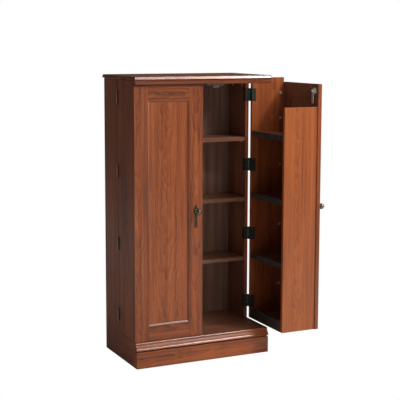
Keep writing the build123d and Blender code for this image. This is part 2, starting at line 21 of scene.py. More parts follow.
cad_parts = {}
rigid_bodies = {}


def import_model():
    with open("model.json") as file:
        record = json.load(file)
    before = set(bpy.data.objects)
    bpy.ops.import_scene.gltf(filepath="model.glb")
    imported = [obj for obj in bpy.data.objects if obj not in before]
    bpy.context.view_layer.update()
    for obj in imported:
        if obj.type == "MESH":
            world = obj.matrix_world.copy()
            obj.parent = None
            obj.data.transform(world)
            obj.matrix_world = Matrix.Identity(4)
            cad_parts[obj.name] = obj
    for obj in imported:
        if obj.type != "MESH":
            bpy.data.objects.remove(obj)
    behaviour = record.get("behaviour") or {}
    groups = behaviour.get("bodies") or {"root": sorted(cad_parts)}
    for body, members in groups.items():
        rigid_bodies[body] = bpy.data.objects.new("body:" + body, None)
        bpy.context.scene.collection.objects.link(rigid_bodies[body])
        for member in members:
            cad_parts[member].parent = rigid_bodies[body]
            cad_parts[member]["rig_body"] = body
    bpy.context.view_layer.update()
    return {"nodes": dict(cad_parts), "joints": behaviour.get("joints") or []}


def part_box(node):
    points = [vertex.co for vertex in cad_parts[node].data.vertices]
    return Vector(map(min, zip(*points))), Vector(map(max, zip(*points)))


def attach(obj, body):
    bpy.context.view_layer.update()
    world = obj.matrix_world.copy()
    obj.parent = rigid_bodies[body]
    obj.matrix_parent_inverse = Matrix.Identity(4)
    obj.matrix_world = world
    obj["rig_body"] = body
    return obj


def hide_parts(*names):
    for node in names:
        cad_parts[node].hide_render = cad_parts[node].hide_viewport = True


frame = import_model()
nodes = frame["nodes"]
hinge = {j["child"]: Vector(j["pos_m"]) for j in frame["joints"]}
MM = 0.001


# %% [markdown]
# ## The camera
#
# A product picture of tall furniture is taken with a long lens from a few metres away, a
# little above the middle, so that the uprights stay nearly parallel. A small vertical shift
# does the rest, as on a view camera. The turn is given as yaw, pitch and roll, because
# those are what one sets on a tripod head.

# %% Camera
YAW, PITCH, ROLL = (math.radians(a) for a in (25.420, 7.416, 0.162))
TRIPOD = (-1.7437, -3.7908, 1.2331)
eye = bpy.data.cameras.new("Camera")
eye.sensor_width = 36.0
eye.lens = 95.70
eye.shift_y = -0.05
camera = bpy.data.objects.new("Camera", eye)
bpy.context.scene.collection.objects.link(camera)
camera.matrix_world = (
    Matrix.Translation(TRIPOD)
    @ Matrix.Rotation(-YAW, 4, "Z")
    @ Matrix.Rotation(math.pi / 2 - PITCH, 4, "X")
    @ Matrix.Rotation(ROLL, 4, "Z")
)
bpy.context.scene.camera = camera
print("camera", [round(c, 3) for c in camera.location], "lens", eye.lens)


# %% [markdown]
# ## Node trees written as sums
#
# A finish is mostly arithmetic: how far a point is from the heart of the tree, how dark a
# ring is there, how much of it shows. Nodes can be placed one at a time, but the sums are
# then hard to read. Here a small class wraps a socket, so that `1 - ring * 0.4` adds the
# Math nodes by itself. Every other node comes from one method, `node`.


# %% A socket that does sums, and a sheet to draw nodes on
class Wire:
    """An output socket. Arithmetic on it adds Math nodes."""

    def __init__(self, sheet, socket):
        self.sheet, self.socket = sheet, socket

    def sum(self, operation, *values):
        return self.sheet.node("ShaderNodeMath", {"operation": operation}, dict(enumerate(values)))

    def __add__(self, other):
        return self.sum("ADD", self, other)

    def __sub__(self, other):
        return self.sum("SUBTRACT", self, other)

    def __rsub__(self, other):
        return self.sum("SUBTRACT", other, self)

    def __mul__(self, other):
        return self.sum("MULTIPLY", self, other)

    def __truediv__(self, other):
        return self.sum("DIVIDE", self, other)

    def __rtruediv__(self, other):
        return self.sum("DIVIDE", other, self)

    def __pow__(self, other):
        return self.sum("POWER", self, other)

    __radd__, __rmul__ = __add__, __mul__


class Sheet:
    """A node tree that is being drawn."""

    def __init__(self, tree):
        self.tree = tree

    def node(self, kind, settings=None, sockets=None, out=0):
        made = self.tree.nodes.new(kind)
        for name, value in (settings or {}).items():
            if name == "stops":
                ramp = made.color_ramp.elements
                while len(ramp) < len(value):
                    ramp.new(0.5)
                for stop, (place, colour) in zip(ramp, value):
                    stop.position, stop.color = place, colour
            else:
                setattr(made, name, value)
        for name, value in (sockets or {}).items():
            if isinstance(value, Wire):
                self.tree.links.new(value.socket, made.inputs[name])
            else:
                made.inputs[name].default_value = value
        return Wire(self, made.outputs[out])

    def close(self, kind, last):
        """Ends the tree: the last wire goes into the first socket of an output node."""
        self.tree.links.new(last.socket, self.tree.nodes.new(kind).inputs[0])


print("sheets and wires ready")


# %% [markdown]
# ## Building blocks for every finish
#
# Each finish starts from the point's place on the object, reads one or two noises from it,
# and ends in one Principled shader. The noises are stretched by giving each direction its
# own scale, in waves per metre, which is easier to judge than one scale and a ratio.


# %% A finish and its noises
class Finish(Sheet):
    """A material with one Principled shader."""

    def __init__(self, name):
        self.material = bpy.data.materials.new(name)
        self.material.use_nodes = True
        super().__init__(self.material.node_tree)
        self.tree.nodes.clear()
        place = self.node("ShaderNodeTexCoord", out="Object")
        self.xyz = [self.node("ShaderNodeSeparateXYZ", {}, {0: place}, out=i) for i in range(3)]

    def noise(self, scales, detail=2.0, roughness=0.5, offset=(0, 0, 0), axes=None):
        """A noise from 0 to 1 with its own waves per metre in each direction."""
        axes = axes or self.xyz
        spread = [axis * scale + shift for axis, scale, shift in zip(axes, scales, offset)]
        vector = self.node("ShaderNodeCombineXYZ", {}, dict(enumerate(spread)))
        values = {"Vector": vector, "Scale": 1.0, "Detail": detail, "Roughness": roughness}
        return self.node("ShaderNodeTexNoise", {"noise_dimensions": "3D"}, values)

    def step(self, value, low, high):
        """0 below low, 1 above high, smooth between."""
        values = {"Value": value, "From Min": low, "From Max": high}
        return self.node("ShaderNodeMapRange", {"interpolation_type": "SMOOTHSTEP"}, values)

    def mix(self, factor, first, second):
        """A mix of two colours. The node keeps its colour sockets at 6 and 7."""
        settings = {"data_type": "RGBA", "clamp_factor": True}
        return self.node("ShaderNodeMix", settings, {0: factor, 6: first, 7: second}, out=2)

    def bump(self, height, distance):
        """A normal raised by height times distance, in metres."""
        values = {"Height": height, "Distance": distance, "Strength": 1.0}
        return self.node("ShaderNodeBump", {}, values)

    def done(self, **sockets):
        """Closes the finish with its Principled shader."""
        values = {name.replace("_", " "): value for name, value in sockets.items()}
        shader = self.node("ShaderNodeBsdfPrincipled", {}, values)
        self.close("ShaderNodeOutputMaterial", shader)
        return self.material


def ink(red, green, blue):
    """A colour given on a 0 to 255 scale, as the linear light a shader wants."""
    return tuple(((c / 255 + 0.055) / 1.055) ** 2.4 for c in (red, green, blue)) + (1.0,)


print("finish helpers ready")


# %% [markdown]
# ## Cherry
#
# The boards carry a print of flat-sawn cherry under a satin film. Flat-sawn figure is what
# a plane shows where it cuts a slightly tapered trunk nearly along its length: arches up
# the middle of the board and almost straight lines beside them. So the finish works out
# each point's distance from the heart of an imagined trunk that lies behind the board and
# leans, and draws a dark line wherever that distance passes one more year. Streaks of
# heartwood and short pores lie on top. A print has no depth, so the bump is very slight.
# Each board has a trunk of its own, placed from its name, so that no two match.
#
# The faces that look into the cabinet get paler, greyer inks than the outer ones. That is
# painted haze over the shade inside the cabinet, not a print of their own. A board that shows
# both faces gets both inks, and the point's place says which one it is on. Moulded parts are
# glossier than flat ones, because their film is stretched tight.


# %% Cherry, for one board at a time
def board_numbers(name):
    """Four steady numbers from 0 to 1 for a board, from the letters of its name."""
    total = 0
    for letter in name:
        total = (total * 31 + ord(letter)) % 99991
    return [(total * step % 9973) / 9973 for step in (1, 37, 211, 1009)]


OUTER_INKS = ink(182, 101, 52), ink(150, 77, 41), ink(86, 45, 28)  # pale, middle, dark
# Paler, greyer inks for faces inside the cabinet: painted haze over the shade there.
SHADE_HAZE_INKS = ink(162, 112, 85), ink(136, 90, 69), ink(84, 53, 44)  # inside the cabinet
PORE_INK = ink(56, 26, 20)
YEAR = 4.2 * MM  # one ring's width
LEAN = 0.03  # the trunk's lean and taper against the board's face
HEART_NEAR, HEART_SPREAD = 0.040, 0.03  # how far behind the board the heart lies, in metres
SATIN, TOP_GLOSS, BASE_GLOSS = 0.31, 0.22, 0.24  # roughness of the films
MOULDED_TONE = 0.08

# Waves per metre along the grain, across it and through the board.
SWAYS, RIPPLES = (1.3, 4.0, 4.0), (11.0, 34.0, 34.0)
STREAKS, BANDS, CLOUDS = (2.4, 85.0, 85.0), (0.8, 22.0, 22.0), (3.0, 12.0, 12.0)
FIBRES, PORES = (16.0, 700.0, 700.0), (45.0, 1500.0, 1500.0)


def cherry(name, grain, tone=0.0, shade_haze=None, gloss=SATIN):
    """Cherry for a board, with its grain along one axis and its face across the thinnest.

    tone darkens the print. The argument after it paints haze over the shade inside: "all"
    for a board that is inside all over, or the axis and the way, 1 or -1, in which the
    board's inner face looks.
    """
    low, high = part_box(name)
    size = high - low
    thin = min((a for a in range(3) if a != grain), key=lambda a: size[a])
    cross = 3 - grain - thin
    middle = (low + high) / 2
    one, two, three, four = board_numbers(name)
    wood = Finish(f"cherry_{name}")
    along, across, deep = (wood.xyz[a] - middle[a] for a in (grain, cross, thin))
    own = {"offset": (40 * one, 40 * two, 40 * three), "axes": (along, across, deep)}

    sway = wood.noise(SWAYS, 2.0, **own) - 0.5
    ripple = wood.noise(RIPPLES, 3.0, **own) - 0.5
    heart_side = across + sway * 0.09 + (one - 0.5) * 0.3 * size[cross]
    lean = along * (LEAN * (1 if two > 0.5 else -1))
    heart_deep = lean + deep + ripple * 0.010 + (HEART_NEAR + HEART_SPREAD * three)
    reach = (heart_side * heart_side + heart_deep * heart_deep) ** 0.5
    ring = wood.node("ShaderNodeMath", {"operation": "FRACT"}, {0: reach / YEAR + ripple * 1.2})
    late = wood.step(ring, 0.15, 0.85) * (1 - wood.step(ring, 0.85, 1.0))

    streak = wood.noise(STREAKS, 4.0, 0.62, **own)
    band = wood.noise(BANDS, 2.0, **own)
    cloud = wood.noise(CLOUDS, 2.0, **own)
    fibre = wood.noise(FIBRES, 2.0, 0.7, **own)
    pore = wood.step(wood.noise(PORES, 1.0, **own), 0.62, 0.74)

    # How dark the print is: each pattern's share, then the board's own tone.
    depth = late * 0.28 + (streak - 0.5) * 1.35 + (band - 0.5) * 0.7 + (cloud - 0.5) * 0.5
    depth = depth + (fibre - 0.5) * 0.4 + (0.32 + tone + (four - 0.5) * 0.08)
    # Inside faces take the inks that paint haze over the cabinet's shade.
    inks = OUTER_INKS
    if shade_haze == "all":
        inks = SHADE_HAZE_INKS
    elif shade_haze:
        axis, way = shade_haze
        face = (high if way > 0 else low)[axis] * way
        hazed = wood.step(wood.xyz[axis] * way, face - 0.6 * MM, face - 0.2 * MM)
        inks = [wood.mix(hazed, outer, inner) for outer, inner in zip(OUTER_INKS, SHADE_HAZE_INKS)]
    pale, middling, dark = inks
    colour = wood.mix(wood.step(depth, -0.05, 0.60), pale, middling)
    colour = wood.mix(wood.step(depth, 0.45, 1.10), colour, dark)
    colour = wood.mix(pore * 0.4, colour, PORE_INK)
    return wood.done(
        Base_Color=colour,
        Roughness=(fibre - 0.5) * 0.10 + pore * 0.12 + gloss,
        Normal=wood.bump(late * -0.4 + fibre * 0.5 - pore, 0.05 * MM),
        Coat_Weight=0.10,
        Coat_Roughness=0.24,
    )


print("cherry is", [round(c, 3) for c in OUTER_INKS[1][:3]], "in linear light")


# %% [markdown]
# ## Eased boards
#
# No real board has a knife edge: the print is wrapped or banded and the arris is rounded by
# under a millimetre, and that thin round is what catches the light along every edge. The
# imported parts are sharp, so each board is copied, its loose triangles are merged back into
# flat faces, and its long outer edges get a small bevel. A copy that comes out with holes
# or has lost volume is dropped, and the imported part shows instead.


# %% Copying a part and easing its edges
def welded(name):
    """A part's mesh with its triangles merged into flat faces."""
    shape = bmesh.new()
    shape.from_mesh(nodes[name].data)
    bmesh.ops.remove_doubles(shape, verts=shape.verts, dist=0.005 * MM)
    flat = math.radians(0.5)
    bmesh.ops.dissolve_limit(shape, angle_limit=flat, verts=shape.verts, edges=shape.edges)
    return shape


def ease(shape, width, shortest, steps=2, turn=(50, 180)):
    """Bevels the long convex edges of a shape, but none that runs into a curve's short ones.

    turn is the range of angles, in degrees, that the two faces make with each other.
    """
    least, most = (math.radians(a) for a in turn)
    room = 2.2 * width  # what the edges that meet this one need for its bevel
    edges = [
        e
        for e in shape.edges
        if len(e.link_faces) == 2
        and e.calc_length() > shortest
        and least < e.calc_face_angle_signed(0) < most
        and all(near.calc_length() > room for v in e.verts for near in v.link_edges)
    ]
    form = {"segments": steps, "profile": 0.5, "affect": "EDGES", "clamp_overlap": True}
    bmesh.ops.bevel(shape, geom=edges, offset=width, **form)
    return len(edges)


def settled(thing):
    """A plain mesh of an object as its modifiers leave it."""
    view = bpy.context.evaluated_depsgraph_get()
    return bpy.data.meshes.new_from_object(thing.evaluated_get(view))


def flatten_shading(piece):
    """Lets big faces decide the normals at their corners, so that a flat board stays flat.

    Plain smooth shading would share the bevels' tilt with the flat faces beside them, and a
    satin finish would show it as wedges of glare.
    """
    piece.modifiers.new("weigh", "WEIGHTED_NORMAL").keep_sharp = True
    rough, piece.data = piece.data, settled(piece)
    piece.modifiers.clear()
    bpy.data.meshes.remove(rough)


CREASE = math.radians(32)  # faces that meet at more than this are not shaded as one


def add_piece(name, shape, body, finish, stands_for=()):
    """Makes a mesh piece from a bmesh, gives it a finish and hangs it on a body."""
    mesh = bpy.data.meshes.new(name)
    shape.to_mesh(mesh)
    shape.free()
    mesh.materials.clear()
    mesh.materials.append(finish)
    mesh.shade_smooth()
    mesh.set_sharp_from_angle(angle=CREASE)
    piece = bpy.data.objects.new(name, mesh)
    bpy.context.scene.collection.objects.link(piece)
    flatten_shading(piece)
    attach(piece, body)
    if stands_for:
        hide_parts(*stands_for)
    return piece


def keep(name, finish):
    """Shows a part as it was packed, in a finish of its own."""
    nodes[name].data.materials.clear()
    nodes[name].data.materials.append(finish)


def eased(name, width, finish, shortest=12 * MM, bead=0.0):
    """Replaces a part by its copy with eased edges, or keeps it if the copy isn't sound.

    bead is how wide the slopes of a frame's moulding are rounded where they meet its flats.
    """
    shape = welded(name)
    before = shape.calc_volume(signed=True)
    count = ease(shape, bead, shortest, 5, (25, 40)) if bead else 0
    count += ease(shape, width, shortest)
    after = shape.calc_volume(signed=True)
    loose = sum(1 for e in shape.edges if not e.is_manifold)
    left = after / before
    if loose or not 0.97 < left < 1.001:
        shape.free()
        keep(name, finish)
        print(f"  {name}: kept as packed ({loose} open edges, volume {left:.3f})")
        return
    piece = add_piece(name + "_board", shape, nodes[name]["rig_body"], finish, [name])
    print(f"  {name}: {count} edges eased, {len(piece.data.polygons)} faces, volume {left:.4f}")


print("corners sharper than", round(math.degrees(CREASE)), "degrees stay sharp")


# %% [markdown]
# ## The boards
#
# Every board gets the same treatment, so they are only listed, with their tones and their
# inner faces. The doors' frame members are a little darker than their panels, and their
# inner moulding has a softly rounded slope.

# %% The boards
X, Y, Z = 0, 1, 2
ARRIS, FRAME_BEAD = 0.7 * MM, 2.4 * MM


def grain_of(name):
    """A board's grain runs along its longest side, and along shelves however they are stacked."""
    low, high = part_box(name)
    size = high - low
    return max((X, Y) if name.endswith("_shelves") else (X, Y, Z), key=lambda a: size[a])


SIDES = ("left", "right")
FRAME = "hinge_stile free_stile top_rail bottom_rail panel".split()
DOOR_BOARDS = FRAME + "side_panel end_panel bottom shelves".split()
boards = (
    "top_front_rail catch_batten carcass_side_left carcass_side_right base_return_left "
    "base_return_right bottom_panel plinth_front base_rear_rail base_centre_support "
    "shelf_lower shelf_middle shelf_upper"
).split()
boards += [f"door_{side}_{part}" for side in SIDES for part in DOOR_BOARDS]
TONES = {"hinge_stile": 0.06, "free_stile": 0.20, "top_rail": 0.20, "bottom_rail": 0.24}
TONES |= {"_panel": 0.0, "end_panel": -0.20, "plinth_front": 0.02, "top_front_rail": 0.42}


def tone_of(name):
    """How much darker than the panels a board's print is: frames are dark, end panels pale."""
    endings = sorted(TONES, key=len, reverse=True)
    return next((TONES[ending] for ending in endings if name.endswith(ending)), 0.08)


# Faces that get the painted haze of the shaded inside: a whole board, or the axis and way its
# inner face looks.
SHADE_HAZE_FACES = {"carcass_side_left": (X, 1), "carcass_side_right": (X, -1), "bottom_panel": (Z, 1)}
SHADE_HAZE_FACES |= {f"door_left_{part}": (Y, 1) for part in FRAME}
SHADE_HAZE_FACES |= {f"door_right_{part}": (X, -1) for part in FRAME}
SHADE_HAZE_FACES |= dict.fromkeys("shelf_lower shelf_middle shelf_upper catch_batten".split(), "all")
SHADE_HAZE_FACES |= {f"door_{side}_{part}": "all" for side in SIDES for part in ("bottom", "shelves")}
for name in boards:
    bead = FRAME_BEAD if name.startswith("door") and name.endswith(("stile", "rail")) else 0.0
    finish = cherry(name, grain_of(name), tone=tone_of(name), shade_haze=SHADE_HAZE_FACES.get(name))
    eased(name, ARRIS, finish, bead=bead)
print(len(boards), "boards")

# %% [markdown]
# ## The top's moulded edge
#
# The top is the one board that is moulded, on its front and both ends: a hollow below, a
# small nose, and above it an almost flat slope that leans back and catches the light. A
# router follows the edge with one cutter, and the script does the same. Each point of the
# cutter's outline gives one loop round the board, set in by that point's distance and at
# its height, and neighbouring loops are joined.

# %% The top
top_low, top_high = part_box("top_panel")
TOP_CORNER, LEAST_CORNER, CORNER_STEPS = 6 * MM, 1.5 * MM, 6

# Millimetres in from the edge, and above the board's underside.
CUTTER = [(4.0, 0.0), (2.2, 0.2), (0.8, 0.7), (0.2, 1.3), (0.0, 2.1), (0.15, 2.8)]
CUTTER += [(0.55, 3.8), (1.0, 4.8), (1.8, 6.6), (2.6, 8.4), (3.4, 10.2), (4.05, 11.6)]
CUTTER += [(4.55, 12.4), (5.3, 12.85), (6.6, 13.0)]


def arc(centre, radius, start, end, steps):
    """Points of an arc in a plane, from one angle to another in degrees."""
    angles = [math.radians(start + (end - start) * i / steps) for i in range(steps + 1)]
    return [(centre[0] + radius * math.cos(a), centre[1] + radius * math.sin(a)) for a in angles]


def edge_loop(shape, inset, height):
    """The board's outline at one height, set in from its front and ends but not its back."""
    radius = max(TOP_CORNER - inset, LEAST_CORNER)
    left, right = top_low.x + inset, top_high.x - inset
    fore, rear = top_low.y + inset, top_high.y
    places = [(left, rear)]
    for centre, start in ((left + radius, 180), (right - radius, 270)):
        places += arc((centre, fore + radius), radius, start, start + 90, CORNER_STEPS)
    places.append((right, rear))
    return [shape.verts.new((x, y, top_low.z + height)) for x, y in places]


def bridge(shape, lower, upper):
    """Joins two closed loops of as many points with a band of faces."""
    for i in range(len(lower)):
        j = (i + 1) % len(lower)
        shape.faces.new((lower[i], lower[j], upper[j], upper[i]))


top = bmesh.new()
loops = [edge_loop(top, inset * MM, height * MM) for inset, height in CUTTER]
for lower, upper in zip(loops, loops[1:]):
    bridge(top, lower, upper)
top.faces.new(reversed(loops[0]))
top.faces.new(loops[-1])
bmesh.ops.recalc_face_normals(top, faces=top.faces)
finish = cherry("top_panel", X, tone=MOULDED_TONE, gloss=TOP_GLOSS)
piece = add_piece("top_moulded", top, "carcass", finish, ["top_panel"])
print(piece.name, len(piece.data.polygons), "faces")

# %% [markdown]
# ## The base moulding
#
# A strip of moulding crowns the plinth: a deep quirk that stays black, a bead, a leaning
# flat and a small nose. Its section never changes, so it is one outline pushed along the
# front. The flat leans a little less than the bead's top and the nose do, and so shines
# less than they do under a light from above.

# %% The moulding
moulding_low, moulding_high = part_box("base_moulding")
plinth_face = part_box("plinth_front")[0].y

# Millimetres out from the plinth's face, and above the moulding's foot.
SECTION = [(-9.0, 0.0), (-9.0, 5.4), (1.2, 5.8), (2.5, 6.4), (3.0, 7.4), (3.0, 8.3)]
SECTION += [(2.6, 9.3), (1.0, 11.7), (-0.6, 14.1), (-1.4, 14.8), (-2.0, 15.1), (-2.1, 16.0)]
SECTION += [(-4.6, 20.0), (-7.0, 24.0), (-9.0, 27.2), (-9.2, 28.1), (-8.5, 29.1), (-8.4, 30.2)]
SECTION += [(-9.0, 31.4), (-10.3, 33.3), (-11.6, 34.5), (-13.4, 35.0)]
moulding = bmesh.new()
ends = []
for x in (moulding_low.x, moulding_high.x):
    outline = [(plinth_face - out * MM, moulding_low.z + lift * MM) for out, lift in SECTION]
    outline += [(moulding_high.y, moulding_high.z), (moulding_high.y, moulding_low.z)]
    ends.append([moulding.verts.new((x, y, z)) for y, z in outline])
bridge(moulding, *ends)
for end in ends:
    moulding.faces.new(end)
bmesh.ops.recalc_face_normals(moulding, faces=moulding.faces)
finish = cherry("base_moulding", X, tone=MOULDED_TONE, gloss=BASE_GLOSS)
piece = add_piece("base_moulded", moulding, "carcass", finish, ["base_moulding"])
print(piece.name, len(piece.data.polygons), "faces")

# %% [markdown]
# ## The back
#
# The back is thin hardboard nailed into the carcass. Its inner face carries the same print,
# but matt and darker, and its outer face is bare brown fibre: fine felted hairs lying every
# way, a little blotched where the board was pressed. One finish serves both faces, because
# the point's depth says which face it is on.

# %% Printed hardboard
PRINT_INKS = ink(140, 102, 80), ink(98, 70, 58)
BARE_INKS = ink(164, 128, 94), ink(138, 104, 74)
back_low, back_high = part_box("back_panel")
hardboard = Finish("printed_hardboard")
outside = hardboard.step(hardboard.xyz[Y], back_low.y + 0.5 * MM, back_low.y + 1.0 * MM)
print_streak = hardboard.noise((70.0, 70.0, 1.8), 3.0, 0.6)
print_band = hardboard.noise((14.0, 14.0, 1.2), 2.0)
print_depth = print_streak * 0.9 + print_band * 0.6
printed = hardboard.mix(hardboard.step(print_depth, 0.45, 1.0), *PRINT_INKS)
felt = hardboard.noise((900.0, 900.0, 900.0), 3.0, 0.7)
blotch = hardboard.noise((9.0, 9.0, 7.0), 3.0)
bare_fibre_or_glint = hardboard.mix(hardboard.step(felt * 0.8 + blotch * 0.2, 0.25, 0.75), *BARE_INKS)
hardboard_finish = hardboard.done(
    Base_Color=hardboard.mix(outside, printed, bare_fibre_or_glint),
    Roughness=0.58 + outside * 0.22 + (felt - 0.5) * 0.15,
    Normal=hardboard.bump(felt, 0.12 * MM),
)
keep("back_panel", hardboard_finish)
print("back:", [round(c, 3) for c in back_high - back_low])


# %% [markdown]
# ## Metal and plastic
#
# Metal is never one colour. Enamel has a faint orange peel and wears bright at its edges,
# pewter is blackened and then rubbed so that the high parts shine, and zinc plate is
# mottled. One recipe covers them: a coarse noise moves between two colours and two
# roughnesses, and a fine one adds the tooth of the surface. The left hinges' barrels stand
# out past the cabinet's side, and there the enamel is painted pale steel: a painted
# highlight along the barrels.


# %% A metal recipe and a plastic recipe
# Pale steel for the painted glint along the left hinges' barrels.
GLINT_STEEL_INK = ink(168, 162, 158)


def metal(
    name, inks, films, mottle, tooth=1500.0, relief=0.03 * MM, shine=1.0,
    streaks=(1, 1, 1), glint_past=None,
):
    """Metal that moves between a pale smooth state and a dark rough one.

    inks and films are the two states' colours and roughnesses. mottle and tooth are the
    waves per metre of the patches and of the surface, and streaks stretches them both.
    The last argument is how far to the left of the middle a painted glint of pale steel begins.
    """
    (pale, dark), (smooth, rough) = inks, films
    finish = Finish(name)
    patch = finish.noise([mottle * s for s in streaks], 4.0, 0.6)
    grit = finish.noise([tooth * s for s in streaks], 2.0, 0.6)
    worn = finish.step(patch + (grit - 0.5) * 0.35, 0.36, 0.66)
    colour = finish.mix(worn, pale, dark)
    # Painted highlight: past that line the colour turns pale steel, a glint along the barrels.
    if glint_past:
        bare_fibre_or_glint = finish.step(finish.xyz[X] * -1, glint_past, glint_past + 1.2 * MM)
        colour = finish.mix(bare_fibre_or_glint * (1 - worn * 0.4), colour, GLINT_STEEL_INK)
    return finish.done(
        Base_Color=colour,
        Metallic=shine,
        Roughness=worn * (rough - smooth) + (grit - 0.5) * 0.10 + smooth,
        Normal=finish.bump(grit * 0.6 + patch * 0.4, relief),
    )


def plastic(name, colour, shade, rough):
    """Moulded plastic with a fine spark-eroded texture."""
    finish = Finish(name)
    texture = finish.noise((1200.0,) * 3, 2.0, 0.6)
    cloud = finish.noise((25.0,) * 3, 3.0)
    return finish.done(
        Base_Color=finish.mix(finish.step(cloud * 0.7 + texture * 0.3, 0.3, 0.7), colour, shade),
        Roughness=(texture - 0.5) * 0.14 + (cloud - 0.5) * 0.12 + rough,
        Normal=finish.bump(texture, 0.05 * MM),
    )


# %% The metals and the plastics
# As far left of the middle as this, the enamel turns to a painted glint of pale steel.
barrels_out = hinge["right_door"].x + 1.0 * MM
coat = {"tooth": 700.0, "relief": 0.05 * MM, "shine": 0.0, "glint_past": barrels_out}
enamel = metal("black_enamel", (ink(58, 66, 59), ink(40, 46, 42)), (0.24, 0.36), 60.0, **coat)
blackened = metal("blackened_steel", (ink(84, 86, 84), ink(48, 50, 50)), (0.34, 0.50), 300.0)
old_pewter = metal("old_pewter", (ink(112, 106, 98), ink(58, 54, 50)), (0.34, 0.52), 220.0)
knob_inks = ink(158, 152, 144), ink(84, 80, 74)
rubbed_pewter = metal("rubbed_pewter", knob_inks, (0.20, 0.36), 120.0)
nickel_inks = ink(232, 230, 224), ink(206, 204, 198)
nickel = metal("satin_nickel", nickel_inks, (0.26, 0.38), 160.0, shine=0.35)
zinc_inks = ink(240, 240, 236), ink(208, 208, 204)
zinc = metal("zinc_plate", zinc_inks, (0.28, 0.44), 350.0, shine=0.5)
steel_inks = ink(176, 176, 174), ink(120, 120, 118)
steel = metal("rolled_steel", steel_inks, (0.28, 0.42), 60.0, streaks=(0.2, 1, 1))
lip_black = plastic("lip_black", ink(66, 68, 66), ink(50, 52, 51), 0.34)
catch_brown = plastic("catch_brown", ink(134, 112, 98), ink(112, 92, 80), 0.46)
print("metals and plastics ready")


# %% [markdown]
# ## Where the right door's parts go
#
# The left door is shut and the right one stands open, but both carry the same hardware. So
# each small piece is made as if its door were shut, and the right door's pieces are then
# turned a quarter about the hinge pin. The two helpers here go both ways: one reads a part's
# box as if its door were shut, and the other puts a finished shape in its true place.

# %% Shut places and true places
pin = hinge["right_door"]
SWING = Matrix.Translation(pin) @ Matrix.Rotation(math.pi / 2, 4, "Z") @ Matrix.Translation(-pin)
SWUNG = ("right_door", "lock_cam")


def shut_box(name):
    """A part's lowest and highest corners with its door shut."""
    low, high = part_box(name)
    if nodes[name]["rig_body"] in SWUNG:
        low, high = (SWING.inverted() @ c for c in (low, high))
        low, high = (Vector(pick(a, b) for a, b in zip(low, high)) for pick in (min, max))
    return low, high


def true_place(shape, body):
    """Turns a shape made for a shut door to where its door stands."""
    if body in SWUNG:
        bmesh.ops.transform(shape, matrix=SWING, verts=shape.verts)
    return shape


print("right knob, shut, at x =", round(sum(c.x for c in shut_box("door_right_knob")) / 2, 4))


# %% [markdown]
# ## Knobs
#
# A cast knob is turned on a lathe: foot, cove, neck, a small collar, then the ball. Spinning
# one outline about its axis gives exactly that, with the grooves where the tool dwelt.


# %% A lathe
FACETS = 40


def lathe(outline):
    """Spins (radius, height) pairs about +Z into a closed shape. A radius of 0 is a pole."""
    shape = bmesh.new()
    rings = []
    for radius, height in outline:
        if radius == 0:
            rings.append([shape.verts.new((0, 0, height))] * FACETS)
            continue
        turns = [math.tau * i / FACETS for i in range(FACETS)]
        spots = [(radius * math.cos(t), radius * math.sin(t)) for t in turns]
        rings.append([shape.verts.new((x, y, height)) for x, y in spots])
    for lower, upper in zip(rings, rings[1:]):
        for i in range(FACETS):
            j = (i + 1) % FACETS
            shape.faces.new(dict.fromkeys((lower[i], lower[j], upper[j], upper[i])))
    bmesh.ops.recalc_face_normals(shape, faces=shape.faces)
    return shape


print("the lathe makes", FACETS, "facets")


# %% The knobs
KNOB_FOOT, KNOB_NECK = 7.5 * MM, 4.2 * MM
CROWN = 62  # degrees up the ball where the groove round its crown lies

# Millimetres wider than the foot or the neck, and above the plate.
FOOT_STEPS = [(0.0, 0.8), (-0.5, 1.2), (-0.2, 1.7), (-0.7, 2.4)]
NECK_STEPS = [(1.4, 3.2), (0.4, 4.6), (0.0, 6.2), (0.0, 7.6)]
NECK_STEPS += [(1.1, 8.0), (1.5, 8.7), (1.1, 9.4), (0.1, 9.8)]


def knob_outline(foot, neck, ball, projection):
    """Foot, cove, neck, collar and ball, in metres from the plate outwards."""
    leave = math.degrees(math.asin(neck / ball)) - 90
    outline = [(0, 0), (foot, 0)]
    outline += [(foot + wider * MM, height * MM) for wider, height in FOOT_STEPS]
    outline += [(neck + wider * MM, height * MM) for wider, height in NECK_STEPS]
    outline += arc((0, projection - ball), ball, leave, CROWN, 18)
    groove, height = outline[-1]
    outline += [(groove - 0.5 * MM, height - 0.2 * MM), (groove - 1.0 * MM, height + 0.1 * MM)]
    outline += [(groove * 0.55, projection - 0.35 * MM)]
    outline += [(groove * 0.25, projection - 0.05 * MM)]
    return outline + [(0, projection)]


for side in SIDES:
    name = f"door_{side}_knob"
    low, high = shut_box(name)
    ball = (high.x - low.x) / 2
    knob = lathe(knob_outline(KNOB_FOOT, KNOB_NECK, ball, high.y - low.y))
    outward = Matrix.Translation(((low.x + high.x) / 2, high.y, (low.z + high.z) / 2))
    outward @= Matrix.Rotation(math.pi / 2, 4, "X")
    bmesh.ops.transform(knob, matrix=outward, verts=knob.verts)
    body = f"{side}_door"
    piece = add_piece(f"knob_{side}", true_place(knob, body), body, rubbed_pewter, [name])
    print(piece.name, len(piece.data.polygons), "faces")


# %% [markdown]
# ## Back plates
#
# Behind each knob is a cast escutcheon. Its outline is right as packed. A casting also has
# a raised rim and a sunk field, so the front face is inset twice: once for the rim and once,
# pushed in, for the field.

# %% The back plates
EDGE, RIM, SLOPE, FIELD_DEPTH = 0.4 * MM, 1.5 * MM, 0.5 * MM, 0.7 * MM


def facing(shape, direction):
    """The faces of a shape that look one way."""
    shape.normal_update()
    return [f for f in shape.faces if f.normal.dot(direction) > 0.999]


